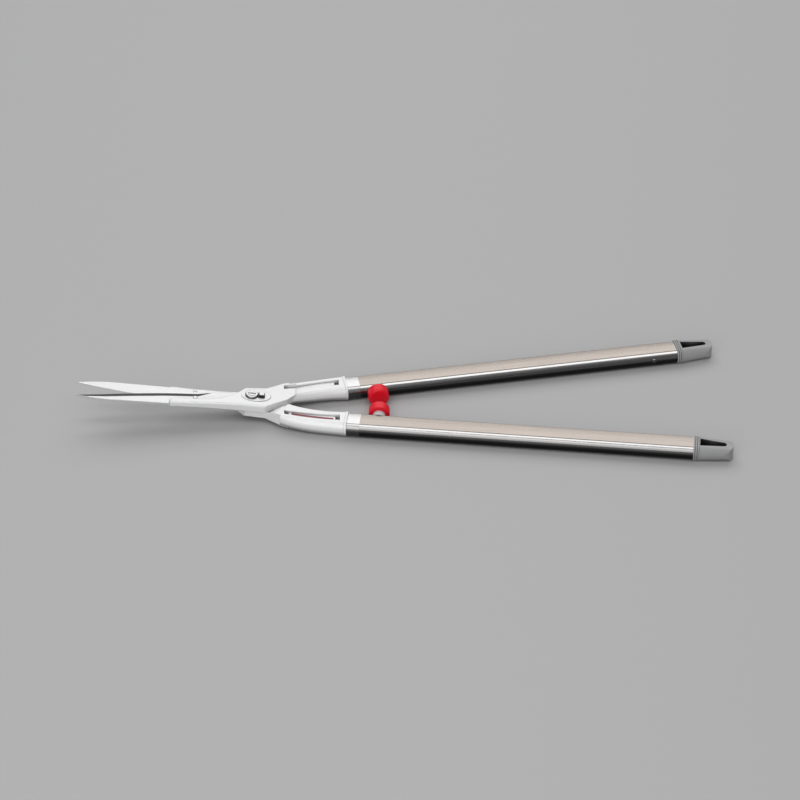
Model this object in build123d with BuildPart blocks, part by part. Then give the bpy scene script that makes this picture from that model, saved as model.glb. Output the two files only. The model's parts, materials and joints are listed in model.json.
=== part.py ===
from build123d import *
from math import cos, radians, sin
import os

# Long-handled hedge shears lying on their two tubes, blades raised, slightly open.
# Millimetres.  +X runs from the blade tips to the handle ends, +Z is up, Z = 0 is the surface
# they lie on.  Each half is drawn from the pivot: u runs towards the handles, h towards that
# half's own handle, w away from the plane in which the two blades slide on each other.
# The upper half has its blade above that plane and its handle on the +Y side.

# --- overall ---------------------------------------------------------------------------------
UPPER, LOWER = 1, -1
PIVOT_X = -155.5             # puts the origin under the middle of the whole tool
PIVOT_Z = 16.8               # height of the sliding plane at the pivot
BLADE_TILT = 7.0             # degrees, the blades rise towards their tips
SLIDE_GAP = 0.15             # each blade stays this far from the sliding plane
CLOSING_ANGLE = 7.0          # degrees from rest until the blade tips meet
CLEAR = 60.0                 # longer than any cut has to be

# --- handle tubes ----------------------------------------------------------------------------
GRIP_OFFSET = 16.0           # the tube axis passes this far beside the pivot
GRIP_SPREAD = 8.5            # degrees between a tube and the centre line
TUBE_WIDTH, TUBE_FLAT, TUBE_HEIGHT = 26.0, 17.0, 17.0
TUBE_Z = TUBE_HEIGHT / 2
CROWN = 0.35                 # rise of the tube's nearly flat top
TUBE_WALL = 1.5
TUBE_BORE = (TUBE_WIDTH - 2 * TUBE_WALL, TUBE_FLAT - TUBE_WALL, TUBE_HEIGHT - 2 * TUBE_WALL)
INSERT = tuple(size - 0.1 for size in TUBE_BORE)
CREASE_RADIUS = 0.35
CREASES = [(x, y) for x in (-TUBE_FLAT / 2, TUBE_FLAT / 2) for y in (-TUBE_Z, TUBE_Z - CROWN)]
MOUTH, FERRULE_LENGTH = 100.5, 13.5
TUBE_END = 456.0
SPIGOT_LENGTH = 26.0
TUBE_RIVET_AT, TUBE_RIVET_RADIUS, TUBE_RIVET_HEAD = 120.5, 2.0, 3.2
CAP_RIVET_AT, CAP_RIVET_RISE = 430.0, 1.2
CAP_RIVET_RADIUS, CAP_RIVET_HEAD, CAP_RIVET_DOME = 1.6, 2.6, 1.0
RIVET_INSET = 0.1
DOME_TAPER = 30              # degrees, the sloping rim of a low rivet head

# --- end caps --------------------------------------------------------------------------------
CAP_LENGTH, CAP_COLLAR, PLUG_LENGTH = 40.5, 5.5, 34.0
# width, flat, height and lift of the collar, its bands, the start and the end of the body
COLLAR_SIZE = (27.0, 17.4, 17.3, 0.35)
BAND_SIZE = (27.8, 17.6, 17.8, 0.5)
BODY_START = (26.6, 17.2, 17.2, 0.3)
BODY_END = (19.4, 12.6, 13.4, 0.3)
BAND_AT, BAND_LENGTH = (0.0, 2.1, 4.2), 1.3
END_ROUND = 8.0
HOLE_START, HOLE_LENGTH, HOLE_HALF, HOLE_TIP = 6.5, 27.0, 5.8, 3.0

# --- blades ----------------------------------------------------------------------------------
BLADE_THICKNESS = 2.7
BEVEL_WIDTH, EDGE_LAND = 7.5, 0.25
HEEL, EDGE_MIDDLE, TIP = (-38, 7.6), (-118, 0), (-180, -12.4)
SPINE_ROUND, SPINE_START, SPINE_END = (-162, -15.6), (-138, -16.6), (-10, -14.2)
# part of the edge counted from the heel, and how far the bevel has faded there
BEVEL_STATIONS = [(0.0, BEVEL_WIDTH + 1), (0.12, 0.0), (0.35, 0.0), (0.6, 0.0), (0.8, 0.8), (1.0, 4.8)]
BEVEL_OVERRUN, OVERRUN_FADE = 8.0, 6.6
SCREWS_AT, SLIDE_RIVET_AT = [(-58, -12), (-26, -11)], (-58, -3)
SCREW_RADIUS, SCREW_HEAD, SCREW_SINK, SCREW_LENGTH = 1.6, 2.8, 1.2, 3.0
SCREW_SLOT = (3.9, 0.7, 0.5)
SLIDE_RIVET_HEAD, SLIDE_RIVET_DOME = 2.4, 0.7

# --- holders ---------------------------------------------------------------------------------
PLATE_TOP = 8.6
BOSS_TOP = 9.4
BOSS_CENTRE, BOSS_SIZE = (4.6, 0.3), (15.3, 9.7)
FINGER_TOP, FINGER_START, SLOPE_END = 5.6, -90, -12
FINGER_ROUND, ROUNDED_BELOW = 2.2, -12
BACK_ROUND, BACK_BEYOND = 1.6, 12    # the plate's edge on its own handle's side
# plan of the shoulder between plate and arm, and its profile as u, w
SHOULDER = [(18.3, 16.2), (24.8, 13.4), (37, 7.2), (39, 27.5), (33, 25.2)]
SHOULDER_TOP = [(15, 0), (15, -0.5), (32, -5), (42, -5), (42, PLATE_TOP), (15, PLATE_TOP)]
# plan of the space that the other half sweeps, up to its side of the sliding plane
SWEPT = [(-100, -60), (-100, 30), (8, 30), (15.5, 20), (24.8, 13.4), (36, 7.6), (46, 1.5), (46, -60)]
# arm sections from the socket mouth towards the pivot: x, h, heading, flat, width
ARM_STATIONS = [(77, 27.6, 11, 16.4, 25.2), (55, 22.6, 17, 17.6, 25.4), (34, 14.6, 22, 20, 25)]
# bottom and top of those sections
ARM_LEVELS = {
    UPPER: [(2.0, 17.8), (4.6, 18.0), (10.0, 20.8)],
    LOWER: [(0.4, 17.8), (1.8, 17.9), (4.4, 18.0)],
}
SOCKET_SIZE = (27.0, 18.0, 17.5, 0.5)
FLANGE_SIZE, FLANGE_LENGTH = (28.0, 18.6, 18.1, 0.65), 2.5
RECESS_FLOOR, POCKET_FLOOR, POCKETS_BETWEEN = 15.6, 12.5, (39, 87)
RECESS_INNER = [(34.5, 16.2), (62, 21.9), (91.5, 25.6)]
RECESS_OUTER = [(34.5, 22.2), (62, 29.8), (91.5, 34.6)]
STRIPE_INNER = [(42, 18.9), (62, 24.2), (85, 28.8)]
STRIPE_OUTER = [(42, 21.3), (62, 26.6), (85, 31.2)]
STRIPE_THICKNESS = 0.3

# --- pivot -----------------------------------------------------------------------------------
BOLT_RADIUS, BOLT_HEAD_RADIUS, BOLT_HEAD_HEIGHT, BOLT_CHAMFER = 4.0, 7.5, 3.0, 1.2
BOLT_END, BOLT_SLOT = 0.3, (8.0, 1.4, 1.2)
BUSH_RADIUS = 5.25
BORE = {UPPER: BOLT_RADIUS, LOWER: BUSH_RADIUS}
RUNNING_FIT = 0.05
WASHER_THICKNESS, HEAD_GAP = 0.8, 0.1
NUT_RADIUS, NUT_HEIGHT, NUT_CHAMFER = 6.6, 2.2, 0.7
LOCK_AT, LOCK_SHANK, LOCK_DEPTH = (10.2, -0.1), 1.5, 4.5
LOCK_PLATE, LOCK_PLATE_SIZE, LOCK_PLATE_ROUND = 0.8, (7.0, 8.4), 1.2
LOCK_HEAD, LOCK_HEAD_SIZE, LOCK_HEAD_ROUND = 2.4, (5.0, 5.8), 1.2

# --- bumpers ---------------------------------------------------------------------------------
BUMPER_AT, BUMPER_Z = 134.5, 11.3
BUMPER_RADIUS, BUMPER_LENGTH = 11.0, 12.1
BUMPER_FACE = 8.6            # half the gap between the two rubbers
FACE_ROUND, BACK_ROUND = 2.8, 1.2
STUD_RADIUS, CORE_RADIUS, CORE_LENGTH = 6.8, 4.5, 7.5
STUD_ROOT = 24.0             # from the rubber's face to past the tube wall
STUD_RIVET_RADIUS, STUD_RIVET_HEAD, STUD_RIVET_BACK = 2.0, (3.8, 0.8), (2.4, 2.0)
STUD_RIVET_END = 17.5


def sliding_plane(side, lift=0.0):
    """The plane the blades slide on, seen from one half: x is u, y is h, z is w."""
    tilt = radians(BLADE_TILT)
    plane = Plane(
        origin=(PIVOT_X, 0, PIVOT_Z),
        x_dir=(cos(tilt), 0, -sin(tilt)),
        z_dir=(side * sin(tilt), 0, side * cos(tilt)),
    )
    return plane.offset(lift)


def section_plane(side, u):
    """A plane square to u at the pivot's level: x is h and y is w."""
    slide = sliding_plane(side)
    return Plane(origin=slide.from_local_coords((u, 0, 0)), x_dir=slide.y_dir, z_dir=slide.x_dir)


def profile_plane(side):
    """The upright plane through the pivot, along the tool: x is u and y is w."""
    slide = sliding_plane(side)
    return Plane(origin=slide.origin, x_dir=slide.x_dir, z_dir=-slide.y_dir)


def level_plane(side, height):
    """A level plane on the pivot's station: x to the handles, y towards the half's own handle."""
    return Plane(origin=(PIVOT_X, 0, height), x_dir=(1, 0, 0), z_dir=(0, 0, side))


def grip_plane(side, along):
    """A plane square to a tube axis: x is sideways, y is up, z runs to the handle end."""
    spread = radians(GRIP_SPREAD)
    return Plane(
        origin=(PIVOT_X + along * cos(spread), side * (GRIP_OFFSET + along * sin(spread)), TUBE_Z),
        x_dir=(-side * sin(spread), cos(spread), 0),
        z_dir=(cos(spread), side * sin(spread), 0),
    )


def grip_top(side, height):
    """A level plane with x along a tube axis and y away from the other handle."""
    spread = radians(GRIP_SPREAD)
    return Plane(
        origin=(PIVOT_X, side * GRIP_OFFSET, height),
        x_dir=(cos(spread), side * sin(spread), 0),
        z_dir=(0, 0, side),
    )


def inner_side(side, along, lift=0.0):
    """An upright plane on a tube axis, z pointing at the other handle."""
    grip = grip_plane(side, along)
    plane = Plane(origin=grip.origin, x_dir=grip.z_dir, z_dir=grip.x_dir * -side)
    return plane.offset(lift)


def arm_plane(side, x, h, heading):
    """An upright plane across a holder arm, x sideways and y up from Z = 0."""
    turn = radians(heading)
    return Plane(
        origin=(PIVOT_X + x, side * h, 0),
        x_dir=(-side * sin(turn), cos(turn), 0),
        z_dir=(cos(turn), side * sin(turn), 0),
    )


def bumper_plane(side, lift=0.0):
    """The rubber's face when the tool is at rest, z pointing at its own tube."""
    lean = radians(CLOSING_ANGLE / 2)
    along = BUMPER_AT * cos(radians(GRIP_SPREAD))
    plane = Plane(
        origin=(PIVOT_X + along, side * BUMPER_FACE, BUMPER_Z),
        x_dir=(cos(lean), side * sin(lean), 0),
        z_dir=(-sin(lean), side * cos(lean), 0),
    )
    return plane.offset(lift)


def flat_oval(width, flat, height, lift=0.0):
    """The edges of a section with level top and bottom and bowed sides."""
    half, top, bottom = flat / 2, lift + height / 2, lift - height / 2
    with BuildLine() as outline:
        Line((-half, top), (half, top))
        ThreePointArc((half, top), (width / 2, lift), (half, bottom))
        Line((half, bottom), (-half, bottom))
        ThreePointArc((-half, bottom), (-width / 2, lift), (-half, top))
    return outline.edges()


def crowned_oval(width, flat, height, lift=0.0):
    """The edges of a section with slightly crowned top, flat bottom and bowed sides."""
    half, top, bottom = flat / 2, lift + height / 2, lift - height / 2
    middle = lift - CROWN / 2
    with BuildLine() as outline:
        ThreePointArc((-half, top - CROWN), (0, top), (half, top - CROWN))
        ThreePointArc((half, top - CROWN), (width / 2, middle), (half, bottom))
        Line((half, bottom), (-half, bottom))
        ThreePointArc((-half, bottom), (-width / 2, middle), (-half, top - CROWN))
    return outline.edges()


def blade_outline():
    """The edges of the blade seen square on."""
    with BuildLine() as outline:
        ThreePointArc(HEEL, EDGE_MIDDLE, TIP)
        ThreePointArc(TIP, SPINE_ROUND, SPINE_START)
        Line(SPINE_START, SPINE_END)
        Line(SPINE_END, (8, -12.5))
        ThreePointArc((8, -12.5), (14, 0), (8, 12))
        Line((8, 12), (-12, 12.5))
        Line((-12, 12.5), HEEL)
    return outline.edges()


def plate_outline():
    """The edges of the pivot plate with the finger that runs along the blade's spine."""
    with BuildLine() as outline:
        ThreePointArc((-82, -10), (-85, -13.5), (-82, -17))
        ThreePointArc((-82, -17), (-22, -15.3), (14.5, -16.4))
        Line((14.5, -16.4), (37, -2))
        Line((37, -2), (46, 8))
        Line((46, 8), (46, 28))
        Line((46, 28), (34, 24.2))
        Line((34, 24.2), (17, 15.5))
        Line((17, 15.5), (-6, 13.4))
        ThreePointArc((-6, 13.4), (-19, 0), (-52, -9.6))
        Line((-52, -9.6), (-82, -10))
    return outline.edges()


def band(inner, outer):
    """The edges of a curved band between two three-point arcs."""
    with BuildLine() as outline:
        ThreePointArc(*inner)
        Line(inner[-1], outer[-1])
        ThreePointArc(*outer[::-1])
        Line(outer[0], inner[0])
    return outline.edges()


def located_edges(piece, plane):
    """Every edge of the piece with its middle in the plane's coordinates."""
    return [(edge, plane.to_local_coords(edge.center())) for edge in piece.edges()]


def save(piece, name):
    piece.part.label = name
    export_step(piece.part, f"parts/{name}.step")


def make_blade(side, name):
    with BuildPart() as blade:
        with BuildSketch(sliding_plane(side, SLIDE_GAP)):
            make_face(blade_outline())
        extrude(amount=BLADE_THICKNESS)
        # ground bevel on the outer face, fading out at the heel
        edge = ThreePointArc(HEEL, EDGE_MIDDLE, TIP, mode=Mode.PRIVATE)
        stations = [(edge @ part, fade) for part, fade in BEVEL_STATIONS]
        stations.append((edge @ 1 + (edge % 1) * BEVEL_OVERRUN, OVERRUN_FADE))
        slope = (BLADE_THICKNESS - EDGE_LAND) / BEVEL_WIDTH
        low, high = SLIDE_GAP + EDGE_LAND, SLIDE_GAP + BLADE_THICKNESS
        for point, fade in stations:
            h = point.Y + fade
            with BuildSketch(section_plane(side, point.X)):
                with BuildLine():
                    Polyline(
                        (h - BEVEL_WIDTH - 1, high + slope),
                        (h + 3, low - 3 * slope),
                        (h + 3, high + slope),
                        close=True,
                    )
                make_face()
        loft(ruled=True, mode=Mode.SUBTRACT)
        # pivot bore, countersunk screw holes and rivet hole
        with BuildSketch(sliding_plane(side)):
            Circle(BORE[side])
            with Locations(*SCREWS_AT, SLIDE_RIVET_AT):
                Circle(SCREW_RADIUS)
        extrude(amount=PLATE_TOP, mode=Mode.SUBTRACT)
        with BuildSketch(sliding_plane(side)):
            with Locations(*SCREWS_AT):
                Circle(SCREW_HEAD)
        extrude(amount=SLIDE_GAP + SCREW_SINK, mode=Mode.SUBTRACT)
    save(blade, name)


def make_screws(side, name):
    """Screws that hold a blade to its holder, heads flush in the sliding face."""
    slot_length, slot_width, slot_depth = SCREW_SLOT
    with BuildPart() as screws:
        with BuildSketch(sliding_plane(side, SLIDE_GAP)):
            with Locations(*SCREWS_AT):
                Circle(SCREW_HEAD)
        extrude(amount=SCREW_SINK)
        with BuildSketch(sliding_plane(side, SLIDE_GAP + SCREW_SINK)):
            with Locations(*SCREWS_AT):
                Circle(SCREW_RADIUS)
        extrude(amount=SCREW_LENGTH)
        with BuildSketch(sliding_plane(side, SLIDE_GAP)):
            with Locations(*SCREWS_AT):
                Rectangle(slot_length, slot_width)
        extrude(amount=slot_depth, mode=Mode.SUBTRACT)
    save(screws, name)


def make_slide_rivet(side, name):
    with BuildPart() as rivet:
        with BuildSketch(sliding_plane(side, SLIDE_GAP)):
            with Locations(SLIDE_RIVET_AT):
                Circle(SCREW_RADIUS)
        extrude(amount=BLADE_THICKNESS)
        with BuildSketch(sliding_plane(side, SLIDE_GAP + BLADE_THICKNESS)):
            with Locations(SLIDE_RIVET_AT):
                Circle(SLIDE_RIVET_HEAD)
        extrude(amount=SLIDE_RIVET_DOME, taper=DOME_TAPER)
    save(rivet, name)


def make_holder(side, name):
    slide = sliding_plane(side)
    with BuildPart() as holder:
        # faceted shoulder between plate and arm
        with BuildSketch(slide):
            with BuildLine():
                Polyline(*SHOULDER, close=True)
            make_face()
        extrude(amount=CLEAR / 4, both=True)
        with BuildSketch(profile_plane(side)):
            with BuildLine():
                Polyline(*SHOULDER_TOP, close=True)
            make_face()
        extrude(amount=CLEAR, both=True, mode=Mode.INTERSECT)
        # pivot plate and finger, thinner towards the finger's end, outer edges rounded
        with BuildSketch(sliding_plane(side, SLIDE_GAP)):
            make_face(plate_outline())
        extrude(amount=PLATE_TOP - SLIDE_GAP)
        with BuildSketch(profile_plane(side)):
            with BuildLine():
                Polyline(
                    (FINGER_START, FINGER_TOP),
                    (SLOPE_END, PLATE_TOP),
                    (SLOPE_END, 2 * PLATE_TOP),
                    (FINGER_START, 2 * PLATE_TOP),
                    close=True,
                )
            make_face()
        extrude(amount=CLEAR, both=True, mode=Mode.SUBTRACT)
        rims = located_edges(holder, slide)
        fillet([edge for edge, at in rims if at.Y < ROUNDED_BELOW and at.Z > FINGER_TOP / 2], FINGER_ROUND)
        rims = [(edge, at) for edge, at in located_edges(holder, slide) if at.Z > FINGER_TOP]
        fillet([edge for edge, at in rims if at.Y > BACK_BEYOND and at.X < BACK_BEYOND], BACK_ROUND)
        # arm, from the socket mouth to the plate
        with BuildSketch(grip_plane(side, MOUTH - FLANGE_LENGTH)):
            make_face(flat_oval(*SOCKET_SIZE))
        for (x, h, heading, flat, width), (bottom, top) in zip(ARM_STATIONS, ARM_LEVELS[side]):
            with BuildSketch(arm_plane(side, x, h, heading)):
                make_face(flat_oval(width, flat, top - bottom, (top + bottom) / 2))
        loft()
        with BuildSketch(grip_plane(side, MOUTH - FLANGE_LENGTH)):
            make_face(flat_oval(*FLANGE_SIZE))
        extrude(amount=FLANGE_LENGTH)
        # room for the other half, at its own side of the sliding plane
        with BuildSketch(sliding_plane(side, SLIDE_GAP)):
            with BuildLine():
                Polyline(*SWEPT, close=True)
            make_face()
        extrude(amount=-CLEAR / 2, mode=Mode.SUBTRACT)
        # pocket for the blade
        with BuildSketch(sliding_plane(side, SLIDE_GAP)):
            make_face(blade_outline())
        extrude(amount=BLADE_THICKNESS, mode=Mode.SUBTRACT)
        # raised oval round the nut
        with BuildSketch(sliding_plane(side, PLATE_TOP - 1)):
            with Locations(BOSS_CENTRE):
                Ellipse(*BOSS_SIZE)
        extrude(amount=BOSS_TOP - PLATE_TOP + 1)
        # bores for the bolt or its bush, the blade screws and the lock screw
        with BuildSketch(slide):
            Circle(BORE[side])
        extrude(amount=BOSS_TOP, mode=Mode.SUBTRACT)
        with BuildSketch(slide):
            with Locations(*SCREWS_AT):
                Circle(SCREW_RADIUS)
        extrude(amount=SLIDE_GAP + SCREW_SINK + SCREW_LENGTH, mode=Mode.SUBTRACT)
        if side == UPPER:
            with BuildSketch(sliding_plane(side, BOSS_TOP)):
                with Locations(LOCK_AT):
                    Circle(LOCK_SHANK)
            extrude(amount=-LOCK_DEPTH, mode=Mode.SUBTRACT)
        # recess along the top of the arm, deeper at both ends
        with BuildSketch(level_plane(side, RECESS_FLOOR)):
            make_face(band(RECESS_INNER, RECESS_OUTER))
        extrude(amount=side * CLEAR / 4, mode=Mode.SUBTRACT)
        start, end = POCKETS_BETWEEN
        with BuildSketch(level_plane(side, POCKET_FLOOR)):
            make_face(band(RECESS_INNER, RECESS_OUTER))
            with Locations(((start + end) / 2, 0)):
                Rectangle(end - start, 2 * CLEAR, mode=Mode.SUBTRACT)
        extrude(amount=side * CLEAR / 4, mode=Mode.SUBTRACT)
        # spigot inside the ferrule and the tube
        with BuildSketch(grip_plane(side, MOUTH - 1)):
            make_face(crowned_oval(*INSERT))
        extrude(amount=SPIGOT_LENGTH + 1)
        with BuildSketch(grip_top(side, 0)):
            with Locations((TUBE_RIVET_AT, 0)):
                Circle(TUBE_RIVET_RADIUS)
        extrude(amount=TUBE_Z, both=True, mode=Mode.SUBTRACT)
    save(holder, name)


def make_ferrule(side, name):
    with BuildPart() as ferrule:
        with BuildSketch(grip_plane(side, MOUTH)):
            make_face(crowned_oval(TUBE_WIDTH, TUBE_FLAT, TUBE_HEIGHT))
            make_face(crowned_oval(*TUBE_BORE), mode=Mode.SUBTRACT)
            with Locations(*CREASES):
                Circle(CREASE_RADIUS, mode=Mode.SUBTRACT)
        extrude(amount=FERRULE_LENGTH)
    save(ferrule, name)


def make_tube(side, name):
    start = MOUTH + FERRULE_LENGTH
    with BuildPart() as tube:
        with BuildSketch(grip_plane(side, start)):
            make_face(crowned_oval(TUBE_WIDTH, TUBE_FLAT, TUBE_HEIGHT))
            make_face(crowned_oval(*TUBE_BORE), mode=Mode.SUBTRACT)
            with Locations(*CREASES):
                Circle(CREASE_RADIUS, mode=Mode.SUBTRACT)
        extrude(amount=TUBE_END - start)
        # holes for the three rivets
        with BuildSketch(grip_top(side, 0)):
            with Locations((TUBE_RIVET_AT, 0)):
                Circle(TUBE_RIVET_RADIUS)
        extrude(amount=TUBE_Z, both=True, mode=Mode.SUBTRACT)
        with BuildSketch(grip_top(side, 0)):
            with Locations((TUBE_RIVET_AT, 0)):
                Circle(TUBE_RIVET_HEAD)
        extrude(amount=TUBE_WALL / 2, both=True, mode=Mode.SUBTRACT)
        with BuildSketch(inner_side(side, CAP_RIVET_AT)):
            with Locations((0, CAP_RIVET_RISE)):
                Circle(CAP_RIVET_RADIUS)
        extrude(amount=TUBE_WIDTH / 2, mode=Mode.SUBTRACT)
        with BuildSketch(bumper_plane(side)):
            Circle(STUD_RIVET_RADIUS)
        extrude(amount=STUD_ROOT, mode=Mode.SUBTRACT)
    save(tube, name)


def make_tube_rivet(side, name):
    """Flush rivet under the tube, through its wall and into the holder's spigot."""
    with BuildPart() as rivet:
        with BuildSketch(grip_top(side, TUBE_Z)):
            with Locations((TUBE_RIVET_AT, 0)):
                Circle(TUBE_RIVET_RADIUS)
        extrude(amount=-side * (TUBE_Z - RIVET_INSET))
        with BuildSketch(grip_top(side, RIVET_INSET)):
            with Locations((TUBE_RIVET_AT, 0)):
                Circle(TUBE_RIVET_HEAD)
        extrude(amount=side * (TUBE_WALL / 2 - RIVET_INSET))
    save(rivet, name)


def make_cap_rivet(side, name):
    """Round-headed rivet on the inner side of the tube, into the cap's plug."""
    with BuildPart() as rivet:
        with BuildSketch(inner_side(side, CAP_RIVET_AT, TUBE_WIDTH / 4)):
            with Locations((0, CAP_RIVET_RISE)):
                Circle(CAP_RIVET_RADIUS)
        extrude(amount=TUBE_WIDTH / 4)
        with BuildSketch(inner_side(side, CAP_RIVET_AT, TUBE_WIDTH / 2)):
            with Locations((0, CAP_RIVET_RISE)):
                Circle(CAP_RIVET_HEAD)
        extrude(amount=CAP_RIVET_DOME, taper=DOME_TAPER)
    save(rivet, name)


def make_cap(side, name):
    end = TUBE_END + CAP_LENGTH
    plug_start = TUBE_END - PLUG_LENGTH
    corner = (end - END_ROUND, BODY_END[0] / 2 + 0.5)
    with BuildPart() as cap:
        # banded collar, then a body that narrows and thins towards the end
        with BuildSketch(grip_plane(side, TUBE_END)):
            make_face(crowned_oval(*COLLAR_SIZE))
        extrude(amount=CAP_COLLAR)
        for at in BAND_AT:
            with BuildSketch(grip_plane(side, TUBE_END + at)):
                make_face(crowned_oval(*BAND_SIZE))
            extrude(amount=BAND_LENGTH)
        with BuildSketch(grip_plane(side, TUBE_END + CAP_COLLAR)):
            make_face(crowned_oval(*BODY_START))
        with BuildSketch(grip_plane(side, end)):
            make_face(crowned_oval(*BODY_END))
        loft()
        # rounded end seen from above, and the plug inside the tube
        with BuildSketch(grip_top(side, 0)):
            with BuildLine():
                Polyline(
                    corner,
                    (corner[0], TUBE_WIDTH),
                    (plug_start, TUBE_WIDTH),
                    (plug_start, -TUBE_WIDTH),
                    (corner[0], -TUBE_WIDTH),
                    (corner[0], -corner[1]),
                )
                ThreePointArc((corner[0], -corner[1]), (end, 0), corner)
            make_face()
        extrude(amount=CLEAR, both=True, mode=Mode.INTERSECT)
        with BuildSketch(grip_plane(side, plug_start)):
            make_face(crowned_oval(*INSERT))
        extrude(amount=PLUG_LENGTH)
        # hole to hang the shears by
        start, tip = TUBE_END + HOLE_START, TUBE_END + HOLE_START + HOLE_LENGTH
        shoulder = tip - HOLE_TIP
        with BuildSketch(grip_top(side, 0)):
            with BuildLine():
                Polyline(
                    (shoulder, -HOLE_TIP), (start, -HOLE_HALF), (start, HOLE_HALF), (shoulder, HOLE_TIP)
                )
                ThreePointArc((shoulder, HOLE_TIP), (tip, 0), (shoulder, -HOLE_TIP))
            make_face()
        extrude(amount=CLEAR, both=True, mode=Mode.SUBTRACT)
        with BuildSketch(inner_side(side, CAP_RIVET_AT, TUBE_WIDTH / 4)):
            with Locations((0, CAP_RIVET_RISE)):
                Circle(CAP_RIVET_RADIUS)
        extrude(amount=TUBE_WIDTH / 4, mode=Mode.SUBTRACT)
    save(cap, name)


def make_stud(side, name):
    """Saddle on the tube's inner side, with a core for the rubber."""
    reach = 2 * TUBE_WIDTH
    with BuildPart() as stud:
        with BuildSketch(bumper_plane(side, BUMPER_LENGTH)):
            Circle(STUD_RADIUS)
        extrude(amount=STUD_ROOT - BUMPER_LENGTH)
        with BuildSketch(grip_plane(side, BUMPER_AT - 2 * STUD_RADIUS)):
            make_face(crowned_oval(TUBE_WIDTH, TUBE_FLAT, TUBE_HEIGHT))
            with Locations((side * (reach - TUBE_FLAT) / 2, 0)):
                Rectangle(reach, reach)
        extrude(amount=4 * STUD_RADIUS, mode=Mode.SUBTRACT)
        with BuildSketch(bumper_plane(side, BUMPER_LENGTH)):
            Circle(CORE_RADIUS)
        extrude(amount=-CORE_LENGTH)
        with BuildSketch(bumper_plane(side)):
            Circle(STUD_RIVET_RADIUS)
        extrude(amount=STUD_ROOT, mode=Mode.SUBTRACT)
    save(stud, name)


def make_rubber(side, name):
    back = bumper_plane(side, BUMPER_LENGTH)
    with BuildPart() as rubber:
        with BuildSketch(bumper_plane(side)):
            Circle(BUMPER_RADIUS)
        extrude(amount=BUMPER_LENGTH)
        rims = sorted(rubber.edges().filter_by(GeomType.CIRCLE), key=lambda rim: abs(rim.center().Y))
        fillet(rims[0], FACE_ROUND)
        rims = sorted(rubber.edges().filter_by(GeomType.CIRCLE), key=lambda rim: abs(rim.center().Y))
        fillet(rims[-1], BACK_ROUND)
        with BuildSketch(back):
            Circle(CORE_RADIUS)
        extrude(amount=-CORE_LENGTH - STUD_RIVET_HEAD[1], mode=Mode.SUBTRACT)
    save(rubber, name)


def make_stud_rivet(side, name):
    """Blind rivet through the stud and the tube wall, head under the rubber."""
    head = BUMPER_LENGTH - CORE_LENGTH
    head_radius, head_height = STUD_RIVET_HEAD
    back_radius, back_height = STUD_RIVET_BACK
    with BuildPart() as rivet:
        with BuildSketch(bumper_plane(side, head - head_height)):
            Circle(head_radius)
        extrude(amount=head_height)
        with BuildSketch(bumper_plane(side, head)):
            Circle(STUD_RIVET_RADIUS)
        extrude(amount=STUD_RIVET_END - head)
        with BuildSketch(bumper_plane(side, STUD_RIVET_END)):
            Circle(back_radius)
        extrude(amount=back_height)
    save(rivet, name)


def make_stripe():
    """Painted line inlaid along the floor of the lower arm's recess."""
    with BuildPart() as stripe:
        with BuildSketch(level_plane(LOWER, RECESS_FLOOR)):
            make_face(band(STRIPE_INNER, STRIPE_OUTER))
        extrude(amount=LOWER * STRIPE_THICKNESS)
    save(stripe, "recess_stripe")


def make_bush():
    with BuildPart() as bush:
        with BuildSketch(sliding_plane(LOWER, SLIDE_GAP)):
            Circle(BUSH_RADIUS)
            Circle(BOLT_RADIUS + RUNNING_FIT, mode=Mode.SUBTRACT)
        extrude(amount=BOSS_TOP - SLIDE_GAP)
    save(bush, "pivot_bush")


def make_washer():
    with BuildPart() as washer:
        with BuildSketch(sliding_plane(LOWER, BOSS_TOP)):
            Circle(BOLT_HEAD_RADIUS)
            Circle(BOLT_RADIUS + RUNNING_FIT, mode=Mode.SUBTRACT)
        extrude(amount=WASHER_THICKNESS)
    save(washer, "pivot_washer")


def make_bolt():
    """Bolt from below, slotted at its upper end."""
    head = BOSS_TOP + WASHER_THICKNESS + HEAD_GAP
    end = BOSS_TOP + NUT_HEIGHT + BOLT_END
    slot_length, slot_width, slot_depth = BOLT_SLOT
    with BuildPart() as bolt:
        with BuildSketch(sliding_plane(LOWER, head)):
            Circle(BOLT_HEAD_RADIUS)
        extrude(amount=BOLT_HEAD_HEIGHT)
        chamfer(bolt.edges().filter_by(GeomType.CIRCLE).sort_by(Axis.Z)[0], BOLT_CHAMFER)
        with BuildSketch(sliding_plane(UPPER, -head)):
            Circle(BOLT_RADIUS)
        extrude(amount=head + end)
        with BuildSketch(sliding_plane(UPPER, end)):
            Rectangle(slot_length, slot_width)
        extrude(amount=-slot_depth, mode=Mode.SUBTRACT)
    save(bolt, "pivot_bolt")


def make_nut():
    with BuildPart() as nut:
        with BuildSketch(sliding_plane(UPPER, BOSS_TOP)):
            Circle(NUT_RADIUS)
        extrude(amount=NUT_HEIGHT)
        chamfer(nut.edges().filter_by(GeomType.CIRCLE).sort_by(Axis.Z)[-1], NUT_CHAMFER)
        with BuildSketch(sliding_plane(UPPER, BOSS_TOP)):
            Circle(BOLT_RADIUS)
        extrude(amount=NUT_HEIGHT, mode=Mode.SUBTRACT)
    save(nut, "pivot_nut")


def make_lock_plate():
    """Plate that keeps the nut from turning, cut out round the nut."""
    with BuildPart() as plate:
        with BuildSketch(sliding_plane(UPPER, BOSS_TOP)):
            with Locations(LOCK_AT):
                RectangleRounded(*LOCK_PLATE_SIZE, LOCK_PLATE_ROUND)
                Circle(LOCK_SHANK, mode=Mode.SUBTRACT)
            Circle(NUT_RADIUS, mode=Mode.SUBTRACT)
        extrude(amount=LOCK_PLATE)
    save(plate, "nut_lock_plate")


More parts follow.
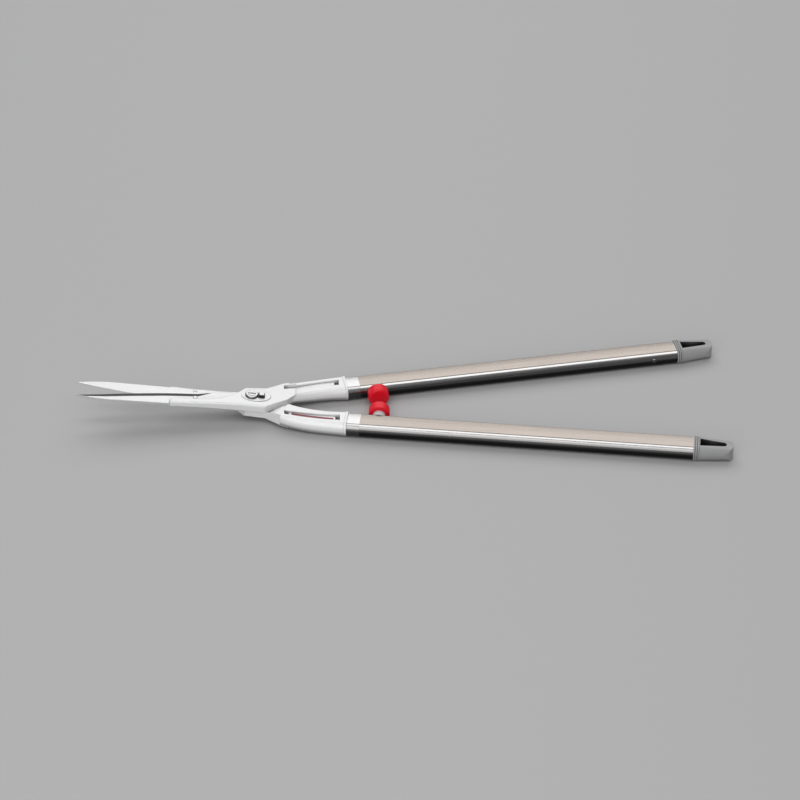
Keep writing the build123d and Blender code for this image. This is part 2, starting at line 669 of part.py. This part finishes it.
def make_lock_screw():
    with BuildPart() as screw:
        with BuildSketch(sliding_plane(UPPER, BOSS_TOP + LOCK_PLATE)):
            with Locations(LOCK_AT):
                RectangleRounded(*LOCK_HEAD_SIZE, LOCK_HEAD_ROUND)
        extrude(amount=LOCK_HEAD)
        with BuildSketch(sliding_plane(UPPER, BOSS_TOP + LOCK_PLATE)):
            with Locations(LOCK_AT):
                Circle(LOCK_SHANK)
        extrude(amount=-LOCK_PLATE - LOCK_DEPTH)
    save(screw, "nut_lock_screw")


os.makedirs("parts", exist_ok=True)
for side, half in ((UPPER, "upper"), (LOWER, "lower")):
    make_blade(side, f"{half}_blade")
    make_screws(side, f"{half}_blade_screws")
    make_slide_rivet(side, f"{half}_slide_rivet")
    make_holder(side, f"{half}_holder")
    make_ferrule(side, f"{half}_ferrule")
    make_tube(side, f"{half}_handle_tube")
    make_tube_rivet(side, f"{half}_tube_rivet")
    make_cap(side, f"{half}_end_cap")
    make_cap_rivet(side, f"{half}_cap_rivet")
    make_stud(side, f"{half}_bumper_stud")
    make_rubber(side, f"{half}_bumper_rubber")
    make_stud_rivet(side, f"{half}_stud_rivet")
make_stripe()
make_bush()
make_washer()
make_bolt()
make_nut()
make_lock_plate()
make_lock_screw()
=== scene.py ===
import json
import math

import bpy
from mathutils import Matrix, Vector

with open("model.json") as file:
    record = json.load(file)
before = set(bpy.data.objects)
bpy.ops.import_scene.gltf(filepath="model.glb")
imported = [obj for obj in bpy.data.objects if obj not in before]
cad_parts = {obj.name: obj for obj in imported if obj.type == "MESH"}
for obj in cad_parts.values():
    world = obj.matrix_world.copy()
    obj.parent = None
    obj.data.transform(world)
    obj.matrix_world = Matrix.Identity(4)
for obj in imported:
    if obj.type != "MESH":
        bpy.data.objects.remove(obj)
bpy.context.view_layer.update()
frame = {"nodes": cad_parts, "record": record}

# camera: degrees, metres, millimetres of lens
CAMERA_AZIMUTH = math.radians(-2.1)
CAMERA_ELEVATION = math.radians(37.0)
CAMERA_DISTANCE = 2.92
CAMERA_LENS, SENSOR_WIDTH = 126.0, 36.0
CAMERA_REACH = 50.0
CAMERA_TARGET = Vector((-0.0005, 0.0092, 0.0085))

# area lights, all aimed at the origin: place and size in metres, power in watts
LIGHTS = {
    "key": ((0.0, 1.8, 2.2), (3.6, 2.2), 46),
    "overhead": ((0.0, -1.0, 2.3), (3.4, 1.4), 24),
    "fill": ((-1.0, -2.4, 1.2), (3.0, 1.8), 25),
}
WORLD_COLOUR, WORLD_STRENGTH = (0.5, 0.5, 0.52, 1), 0.5
FLOOR_HALF, FLOOR_COLOUR, FLOOR_ROUGHNESS = 6.0, (0.44, 0.44, 0.44, 1), 0.7

# degrees from +X of each half's tube, which its lengthwise grain follows
GRIP_TURN = {"upper": 8.5, "lower": -8.5}

# samples of the bevel and occlusion nodes, and the span that most of a noise texture's values fill
EDGE_SAMPLES, CAVITY_SAMPLES = 6, 8
NOISE_LOW, NOISE_HIGH = 0.3, 0.7

# painted highlight and painted shade on the tube, by its normal's Z: where each starts to show, where it
# is full, and the colour
TUBE_PAINTED_LIGHT_BANDS = [
    (0.9982, 0.9976, (0.06, 0.055, 0.05, 1.0)),     # painted dark reflection along the crease
    (0.785, 0.750, (0.60, 0.59, 0.58, 1.0)),        # painted highlight below it
    (0.66, 0.52, (0.27, 0.265, 0.26, 1.0)),         # painted shade on the upper side
    (0.44, 0.06, (0.035, 0.034, 0.034, 1.0)),       # painted shade on the middle of the side
    (0.06, -0.3, (0.012, 0.012, 0.012, 1.0)),       # painted shade on the underside
]


# --- node helpers ----------------------------------------------------------------------------

def add(tree, kind, inputs=None, **settings):
    """A node of that kind; each input is a socket to link or a value to set."""
    node = tree.nodes.new(kind)
    for name, value in settings.items():
        setattr(node, name, value)
    for key, value in (inputs or {}).items():
        if isinstance(value, bpy.types.NodeSocket):
            tree.links.new(value, node.inputs[key])
        else:
            node.inputs[key].default_value = value
    return node


def grain(tree, turn, stretch, scale, detail=3.0, offset=0.0):
    """Noise over the object's own coordinates in metres, turned about Z and stretched along X."""
    place = add(tree, "ShaderNodeTexCoord").outputs["Object"]
    turned = add(tree, "ShaderNodeMapping", {
        "Vector": place,
        "Rotation": (0.0, 0.0, math.radians(-turn)),
    })
    scaled = add(tree, "ShaderNodeMapping", {
        "Vector": turned.outputs["Vector"],
        "Location": (offset, offset, offset),
        "Scale": (scale / stretch, scale, scale),
    })
    noise = add(tree, "ShaderNodeTexNoise", {
        "Vector": scaled.outputs["Vector"],
        "Scale": 1.0,
        "Detail": detail,
        "Roughness": 0.6,
    })
    return noise.outputs["Fac"]


def remap(tree, value, low, high, to_low, to_high):
    """The value taken from one range to another, and held at its ends."""
    node = add(tree, "ShaderNodeMapRange", {
        "Value": value,
        "From Min": low,
        "From Max": high,
        "To Min": to_low,
        "To Max": to_high,
    })
    return node.outputs["Result"]


def mix(tree, factor, first, second):
    """The first colour where the factor is 0, the second where it is 1."""
    node = add(tree, "ShaderNodeMix", data_type="RGBA")
    for socket, value in ((node.inputs[0], factor), (node.inputs[6], first), (node.inputs[7], second)):
        if isinstance(value, bpy.types.NodeSocket):
            tree.links.new(value, socket)
        else:
            socket.default_value = value
    return node.outputs[2]


def maths(tree, operation, first, second):
    node = add(tree, "ShaderNodeMath", {0: first, 1: second}, operation=operation)
    return node.outputs[0]


def edges(tree, radius, gain):
    """0 on open surface, 1 where the surface turns sharply within the radius."""
    soft = add(tree, "ShaderNodeBevel", {"Radius": radius}, samples=EDGE_SAMPLES)
    true = add(tree, "ShaderNodeNewGeometry")
    dot = add(tree, "ShaderNodeVectorMath", {
        0: soft.outputs["Normal"],
        1: true.outputs["Normal"],
    }, operation="DOT_PRODUCT")
    return remap(tree, dot.outputs["Value"], 1.0, 1.0 - gain, 0.0, 1.0)


def steepness(tree, level, steep):
    """0 where the normal's Z at rest is level or more, 1 where it is steep or less."""
    place = add(tree, "ShaderNodeTexCoord").outputs["Normal"]
    height = add(tree, "ShaderNodeSeparateXYZ", {"Vector": place}).outputs["Z"]
    return remap(tree, height, level, steep, 0.0, 1.0)


def cavity(tree, distance, shallow, deep, own=True):
    """0 on open surface, 1 deep in a hole or pocket; with own off, other pieces close by count too."""
    node = add(tree, "ShaderNodeAmbientOcclusion", {
        "Distance": distance,
    }, samples=CAVITY_SAMPLES, only_local=own)
    return remap(tree, node.outputs["AO"], shallow, deep, 0.0, 1.0)


def tint_worn_and_shaded_edges(tree, edge_wear_and_shade, share, base, colour):
    """The base colour, with up to that share of another colour along the edges: wear on most parts,
    painted shade along the ferrule's rims.
    """
    return mix(tree, maths(tree, "MULTIPLY", edge_wear_and_shade, share), base, colour)


def roughness_from(tree, noise, smooth, rough):
    return remap(tree, noise, NOISE_LOW, NOISE_HIGH, smooth, rough)


def finish_with(material, base, roughness, bump, strength, distance, round_edges=0.0, **fixed):
    """Links colour, roughness and bump to the shader, and sets its other inputs by name."""
    tree = material.node_tree
    shader = tree.nodes["Principled BSDF"]
    tree.links.new(base, shader.inputs["Base Color"])
    tree.links.new(roughness, shader.inputs["Roughness"])
    relief = add(tree, "ShaderNodeBump", {"Height": bump, "Strength": strength, "Distance": distance})
    if round_edges:
        soft = add(tree, "ShaderNodeBevel", {"Radius": round_edges}, samples=EDGE_SAMPLES)
        tree.links.new(soft.outputs["Normal"], relief.inputs["Normal"])
    tree.links.new(relief.outputs["Normal"], shader.inputs["Normal"])
    for name, value in fixed.items():
        shader.inputs[name.replace("_", " ")].default_value = value


def new_material(name):
    material = bpy.data.materials.new(name)
    material.use_nodes = True
    return material


def grey(value, warm=0.0):
    """A grey, moved towards red by the share warm."""
    return (value * (1 + warm), value, value * (1 - warm), 1.0)


# --- materials -------------------------------------------------------------------------------

def blade_steel(name, turn):
    """Chromed steel with a fine lengthwise grain, a painted dark reflection on the ground bevel and a
    painted highlight on the narrow sides.
    """
    material = new_material(name)
    tree = material.node_tree
    fine = grain(tree, turn, 60.0, 4200.0)
    broad = grain(tree, turn, 8.0, 90.0, offset=3.0)
    edge_wear_and_shade = edges(tree, 0.0007, 0.35)
    base = mix(tree, broad, grey(0.46), grey(0.54))
    base = tint_worn_and_shaded_edges(tree, edge_wear_and_shade, 0.5, base, grey(0.72))
    # painted dark reflection on the ground bevel
    bevel = maths(tree, "SUBTRACT", steepness(tree, 0.975, 0.955), steepness(tree, 0.90, 0.80))
    base = mix(tree, bevel, base, grey(0.14))
    # painted highlight on the steep narrow sides
    base = mix(tree, steepness(tree, 0.5, 0.1), base, grey(0.90))
    rough = roughness_from(tree, fine, 0.24, 0.38)
    rough = maths(tree, "SUBTRACT", rough, maths(tree, "MULTIPLY", edge_wear_and_shade, 0.08))
    finish_with(
        material, base, rough, fine,
        strength=0.10, distance=0.00002, round_edges=0.0003, Metallic=1.0, Anisotropic=0.4,
    )
    return material


def holder_alloy(name, turn):
    """Matte silver die casting, mottled and paler on its worn edges, with a painted highlight on its
    walls, painted shade in its pockets and on its undersides, and painted shade in the gaps next to other
    pieces.
    """
    material = new_material(name)
    tree = material.node_tree
    cast = grain(tree, turn, 1.0, 2600.0, detail=5.0)
    broad = grain(tree, turn, 2.0, 60.0, offset=1.0)
    edge_wear_and_shade = edges(tree, 0.0012, 0.30)
    base = mix(tree, broad, grey(0.70), grey(0.77))
    # painted highlight on the steep walls
    base = mix(tree, steepness(tree, 0.9, 0.4), base, grey(0.94))
    base = tint_worn_and_shaded_edges(tree, edge_wear_and_shade, 0.7, base, grey(0.95))
    # painted shade in the pockets and recesses
    base = mix(tree, cavity(tree, 0.008, 0.5, 0.1), base, grey(0.22))
    # painted shade on the undersides
    base = mix(tree, steepness(tree, 0.0, -0.45), base, grey(0.42))
    # painted shade in the gaps where other pieces come close
    base = mix(tree, cavity(tree, 0.003, 0.72, 0.40, own=False), base, grey(0.16))
    rough = roughness_from(tree, cast, 0.38, 0.50)
    rough = maths(tree, "SUBTRACT", rough, maths(tree, "MULTIPLY", edge_wear_and_shade, 0.12))
    finish_with(
        material, base, rough, cast,
        strength=0.25, distance=0.00004, round_edges=0.0009, Metallic=0.4,
    )
    return material


def ferrule_metal(name, turn):
    """Bright collar brushed round its girth, with painted shade along its rims and down its sides."""
    material = new_material(name)
    tree = material.node_tree
    fine = grain(tree, turn, 0.03, 200.0)
    edge_wear_and_shade = edges(tree, 0.0006, 0.35)
    base = mix(tree, fine, grey(0.43, 0.01), grey(0.51, 0.01))
    # painted shade along the rims, laid on through the edge mask
    base = tint_worn_and_shaded_edges(tree, edge_wear_and_shade, 0.8, base, grey(0.16))
    # painted shade down the sides
    base = mix(tree, steepness(tree, 0.66, 0.1), base, grey(0.08))
    rough = roughness_from(tree, fine, 0.16, 0.28)
    finish_with(
        material, base, rough, fine,
        strength=0.08, distance=0.00002, round_edges=0.0003, Metallic=1.0,
    )
    return material


def tube_anodised(name, turn):
    """Tube with a satin champagne top; its bowed polished sides carry a painted highlight below the
    crease and painted shade that darkens them downwards, with painted shade in the crease grooves.
    """
    material = new_material(name)
    tree = material.node_tree
    fine = grain(tree, turn, 150.0, 5200.0)
    streak = grain(tree, turn, 40.0, 420.0, offset=5.0)
    broad = grain(tree, turn, 4.0, 22.0, offset=9.0)
    edge_wear_and_shade = edges(tree, 0.0005, 0.30)
    base = mix(tree, streak, (0.255, 0.225, 0.200, 1.0), (0.365, 0.325, 0.290, 1.0))
    base = mix(tree, maths(tree, "MULTIPLY", broad, 0.35), base, (0.32, 0.29, 0.265, 1.0))
    # painted highlight and painted shade laid on by the normal's Z
    for level, steep, colour in TUBE_PAINTED_LIGHT_BANDS:
        base = mix(tree, steepness(tree, level, steep), base, colour)
    base = tint_worn_and_shaded_edges(tree, edge_wear_and_shade, 0.04, base, (0.40, 0.37, 0.34, 1.0))
    # painted shade in the crease grooves
    base = mix(tree, cavity(tree, 0.0008, 0.92, 0.62), base, (0.03, 0.028, 0.026, 1.0))
    rough = roughness_from(tree, fine, 0.20, 0.32)
    rough = maths(tree, "SUBTRACT", rough, maths(tree, "MULTIPLY", steepness(tree, 0.88, 0.80), 0.07))
    finish_with(
        material, base, rough, fine,
        strength=0.08, distance=0.00002, Metallic=1.0, Anisotropic=0.3,
    )
    return material


def cap_plastic(name, turn):
    """Mid-grey moulded plastic with a fine texture, scuffed edges and painted shade in its hanging hole.
    """
    material = new_material(name)
    tree = material.node_tree
    texture = grain(tree, turn, 1.0, 3200.0, detail=4.0)
    broad = grain(tree, turn, 1.5, 110.0, offset=2.0)
    edge_wear_and_shade = edges(tree, 0.0009, 0.30)
    base = mix(tree, broad, grey(0.30), grey(0.36))
    base = tint_worn_and_shaded_edges(tree, edge_wear_and_shade, 0.6, base, grey(0.50))
    # painted shade in the hanging hole
    base = mix(tree, cavity(tree, 0.014, 0.88, 0.55), base, grey(0.012))
    rough = roughness_from(tree, texture, 0.42, 0.56)
    finish_with(material, base, rough, texture, strength=0.35, distance=0.00006, round_edges=0.0006)
    return material


def stud_plastic(name, turn):
    """Light grey moulded plastic, paler on its edges."""
    material = new_material(name)
    tree = material.node_tree
    texture = grain(tree, turn, 1.0, 2400.0, detail=4.0)
    edge_wear_and_shade = edges(tree, 0.0006, 0.30)
    base = mix(tree, texture, grey(0.50), grey(0.58))
    base = tint_worn_and_shaded_edges(tree, edge_wear_and_shade, 0.5, base, grey(0.70))
    rough = roughness_from(tree, texture, 0.34, 0.46)
    finish_with(material, base, rough, texture, strength=0.2, distance=0.00004, round_edges=0.0004)
    return material


def bumper_rubber(name, turn):
    """Red moulded rubber, semi-gloss, a little paler on its worn edges."""
    material = new_material(name)
    tree = material.node_tree
    texture = grain(tree, turn, 1.0, 1900.0, detail=5.0)
    broad = grain(tree, turn, 1.0, 160.0, offset=4.0)
    edge_wear_and_shade = edges(tree, 0.0012, 0.35)
    base = mix(tree, broad, (0.72, 0.003, 0.016, 1.0), (0.84, 0.007, 0.027, 1.0))
    base = tint_worn_and_shaded_edges(tree, edge_wear_and_shade, 0.35, base, (0.86, 0.04, 0.065, 1.0))
    rough = roughness_from(tree, texture, 0.30, 0.44)
    finish_with(
        material, base, rough, texture,
        strength=0.2, distance=0.00005, round_edges=0.0005, Specular_IOR_Level=0.3,
    )
    return material


def fastener_steel(name, turn):
    """Zinc-plated steel with a fine mottle, worn edges and painted shade on its sides."""
    material = new_material(name)
    tree = material.node_tree
    fine = grain(tree, turn, 1.0, 2200.0)
    edge_wear_and_shade = edges(tree, 0.0005, 0.35)
    base = mix(tree, fine, grey(0.44), grey(0.54))
    base = tint_worn_and_shaded_edges(tree, edge_wear_and_shade, 0.6, base, grey(0.70))
    # painted shade on the steep sides
    base = mix(tree, steepness(tree, 0.85, 0.5), base, grey(0.10))
    rough = roughness_from(tree, fine, 0.22, 0.36)
    finish_with(
        material, base, rough, fine,
        strength=0.15, distance=0.00002, round_edges=0.0003, Metallic=1.0,
    )
    return material


def lock_plate_steel(name, turn):
    """Blackened sheet steel under the lock screw."""
    material = new_material(name)
    tree = material.node_tree
    fine = grain(tree, turn, 1.0, 2400.0)
    edge_wear_and_shade = edges(tree, 0.0005, 0.35)
    base = mix(tree, fine, grey(0.055), grey(0.085))
    base = tint_worn_and_shaded_edges(tree, edge_wear_and_shade, 0.5, base, grey(0.20))
    rough = roughness_from(tree, fine, 0.32, 0.46)
    finish_with(
        material, base, rough, fine,
        strength=0.15, distance=0.00002, round_edges=0.0003, Metallic=1.0,
    )
    return material


def bush_bronze(name, turn):
    """Cast bronze, brighter on its edges."""
    material = new_material(name)
    tree = material.node_tree
    fine = grain(tree, turn, 1.0, 2600.0)
    edge_wear_and_shade = edges(tree, 0.0004, 0.35)
    base = mix(tree, fine, (0.46, 0.29, 0.11, 1.0), (0.60, 0.40, 0.17, 1.0))
    base = tint_worn_and_shaded_edges(tree, edge_wear_and_shade, 0.5, base, (0.75, 0.54, 0.28, 1.0))
    rough = roughness_from(tree, fine, 0.30, 0.45)
    finish_with(
        material, base, rough, fine,
        strength=0.2, distance=0.00003, round_edges=0.0002, Metallic=1.0,
    )
    return material


def stripe_paint(name, turn):
    """Dark red paint, thinner at its edges."""
    material = new_material(name)
    tree = material.node_tree
    fine = grain(tree, turn, 1.0, 2000.0)
    edge_wear_and_shade = edges(tree, 0.0003, 0.35)
    base = mix(tree, fine, (0.20, 0.006, 0.018, 1.0), (0.27, 0.010, 0.026, 1.0))
    base = tint_worn_and_shaded_edges(tree, edge_wear_and_shade, 0.4, base, (0.38, 0.03, 0.055, 1.0))
    rough = roughness_from(tree, fine, 0.30, 0.42)
    finish_with(material, base, rough, fine, strength=0.15, distance=0.00003)
    return material


FINISHES = {
    "blade_steel": blade_steel,
    "holder_alloy": holder_alloy,
    "ferrule_metal": ferrule_metal,
    "tube_anodised": tube_anodised,
    "cap_plastic": cap_plastic,
    "stud_plastic": stud_plastic,
    "bumper_rubber": bumper_rubber,
    "fastener_steel": fastener_steel,
    "bush_bronze": bush_bronze,
    "stripe_paint": stripe_paint,
}
ALONG_TUBE = {"ferrule_metal", "tube_anodised", "cap_plastic"}
OWN_FINISH = {"nut_lock_plate": lock_plate_steel}


def dress():
    """Gives every CAD node the finish of its slot, or its own, with the grain along its half."""
    made = {}
    for row in frame["record"]["subparts"]:
        node, slot = row["node"], row["material_slot"]
        name, make, turn = slot, FINISHES[slot], 0.0
        if node in OWN_FINISH:
            name, make = node, OWN_FINISH[node]
        elif slot in ALONG_TUBE:
            half = node.split("_")[0]
            name, turn = f"{slot}_{half}", GRIP_TURN[half]
        if name not in made:
            made[name] = make(name, turn)
        mesh = frame["nodes"][node].data
        mesh.materials.clear()
        mesh.materials.append(made[name])


# --- camera, lights and floor ----------------------------------------------------------------

def add_camera():
    """The camera, which looks at its target from the named azimuth, elevation and distance."""
    direction = Vector((
        math.sin(CAMERA_AZIMUTH) * math.cos(CAMERA_ELEVATION),
        -math.cos(CAMERA_AZIMUTH) * math.cos(CAMERA_ELEVATION),
        math.sin(CAMERA_ELEVATION),
    ))
    data = bpy.data.cameras.new("camera")
    data.lens = CAMERA_LENS
    data.sensor_width = SENSOR_WIDTH
    data.clip_end = CAMERA_REACH
    camera = bpy.data.objects.new("camera", data)
    camera.location = CAMERA_TARGET + CAMERA_DISTANCE * direction
    camera.rotation_euler = (-direction).to_track_quat("-Z", "Y").to_euler()
    bpy.context.scene.collection.objects.link(camera)
    bpy.context.scene.camera = camera


def add_area_light(name, location, size, power):
    """A rectangular soft light aimed at the origin."""
    data = bpy.data.lights.new(name, "AREA")
    data.shape = "RECTANGLE"
    data.size, data.size_y = size
    data.energy = power
    light = bpy.data.objects.new(name, data)
    light.location = location
    light.rotation_euler = (-Vector(location)).to_track_quat("-Z", "Y").to_euler()
    bpy.context.scene.collection.objects.link(light)


def add_lights():
    """A large soft light behind, one overhead on the camera's side, a low one in front, and the world."""
    for name, (location, size, power) in LIGHTS.items():
        add_area_light(name, location, size, power)
    world = bpy.data.worlds.new("studio")
    world.use_nodes = True
    background = world.node_tree.nodes["Background"]
    background.inputs["Color"].default_value = WORLD_COLOUR
    background.inputs["Strength"].default_value = WORLD_STRENGTH
    bpy.context.scene.world = world
    bpy.context.scene.view_settings.view_transform = "Standard"


def add_floor():
    """A plain pale floor under the object."""
    mesh = bpy.data.meshes.new("floor")
    half = FLOOR_HALF
    corners = [(-half, -half, 0), (half, -half, 0), (half, half, 0), (-half, half, 0)]
    mesh.from_pydata(corners, [], [(0, 1, 2, 3)])
    floor = bpy.data.objects.new("floor", mesh)
    bpy.context.scene.collection.objects.link(floor)
    material = new_material("floor")
    shader = material.node_tree.nodes["Principled BSDF"]
    shader.inputs["Base Color"].default_value = FLOOR_COLOUR
    shader.inputs["Roughness"].default_value = FLOOR_ROUGHNESS
    mesh.materials.append(material)


dress()
add_camera()
add_lights()
add_floor()
